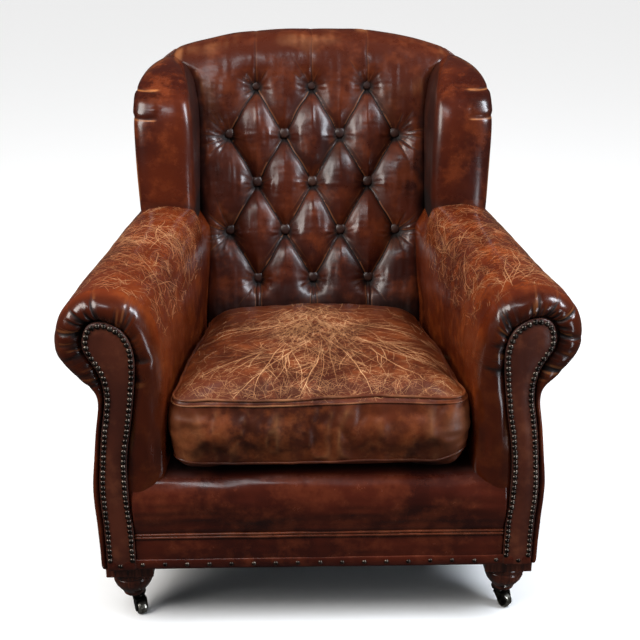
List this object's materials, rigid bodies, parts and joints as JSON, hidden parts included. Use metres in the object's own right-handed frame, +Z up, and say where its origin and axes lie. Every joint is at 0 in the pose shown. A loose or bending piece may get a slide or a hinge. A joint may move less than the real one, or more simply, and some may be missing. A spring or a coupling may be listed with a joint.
{
  "type": "club chair",
  "caption": "Worn leather wing-back club chair: buttoned back, scrolled arms, loose cushion, turned front feet on swivel casters, raked rear legs.",
  "frame": {"origin": "on the floor, under the middle of the chair's bounding box", "axes": "+Z up, +Y towards the back of the chair, +X to the right-hand side seen from the front"},
  "size_m": [0.899, 0.8593, 1],
  "materials": {
    "leather": "glossy waxed red-brown hide, darkened in the folds",
    "worn_leather": "red-brown hide rubbed to tan, crazed with fine light cracks",
    "facing_leather": "dark glossy hide on the arm fronts",
    "button_leather": "dark hide over button moulds",
    "beech": "planed, unfinished",
    "mahogany": "dark polished stain",
    "spring_steel": "drawn wire",
    "caster_metal": "dark bronzed",
    "wheel_metal": "bright worn metal",
    "hessian": "plain weave over the springs",
    "black_lining": "matt woven dust cover",
    "nail_metal": "antique bronze nail heads, for the finishing pieces"
  },
  "bodies": {
    "root": {"front_rail": "beech", "rear_rail": "beech", "lower_back_rail": "beech", "crest_rail": "beech", "side_rail_left": "beech", "front_post_left": "beech", "rear_post_left": "beech", "arm_board_left": "beech", "wing_board_left": "beech", "side_rail_right": "beech", "front_post_right": "beech", "rear_post_right": "beech", "arm_board_right": "beech", "wing_board_right": "beech", "seat_spring_1": "spring_steel", "seat_spring_2": "spring_steel", "seat_spring_3": "spring_steel", "seat_spring_4": "spring_steel", "seat_deck": "hessian", "seat_cushion": "worn_leather", "seat_lip": "leather", "front_border": "leather", "inside_back": "leather", "outside_back": "leather", "button_1": "button_leather", "button_2": "button_leather", "button_3": "button_leather", "button_4": "button_leather", "button_5": "button_leather", "button_6": "button_leather", "button_7": "button_leather", "button_8": "button_leather", "button_9": "button_leather", "button_10": "button_leather", "button_11": "button_leather", "button_12": "button_leather", "button_13": "button_leather", "button_14": "button_leather", "button_15": "button_leather", "button_16": "button_leather", "button_17": "button_leather", "arm_pad_left": "worn_leather", "arm_facing_left": "facing_leather", "wing_pad_left": "leather", "front_foot_left": "mahogany", "rear_leg_left": "mahogany", "caster_socket_left": "caster_metal", "arm_pad_right": "worn_leather", "arm_facing_right": "facing_leather", "wing_pad_right": "leather", "front_foot_right": "mahogany", "rear_leg_right": "mahogany", "caster_socket_right": "caster_metal", "dust_cover": "black_lining"},
    "caster_left": {"caster_fork_left": "caster_metal", "caster_axle_left": "caster_metal"},
    "wheel_left": {"caster_wheel_left": "wheel_metal"},
    "caster_right": {"caster_fork_right": "caster_metal", "caster_axle_right": "caster_metal"},
    "wheel_right": {"caster_wheel_right": "wheel_metal"}
  },
  "joints": [
    {"name": "caster_left_swivel", "type": "hinge", "parent": "root", "child": "caster_left", "pos_m": [-0.346, -0.34535, 0.03], "axis": [0, 0, 1], "continuous": true},
    {"name": "wheel_left_roll", "type": "hinge", "parent": "caster_left", "child": "wheel_left", "pos_m": [-0.34008, -0.35804, 0.013], "axis": [0.9063, 0.4226, 0], "continuous": true},
    {"name": "caster_right_swivel", "type": "hinge", "parent": "root", "child": "caster_right", "pos_m": [0.346, -0.34535, 0.03], "axis": [0, 0, 1], "continuous": true},
    {"name": "wheel_right_roll", "type": "hinge", "parent": "caster_right", "child": "wheel_right", "pos_m": [0.35673, -0.35435, 0.013], "axis": [0.6428, 0.766, 0], "continuous": true}
  ]
}
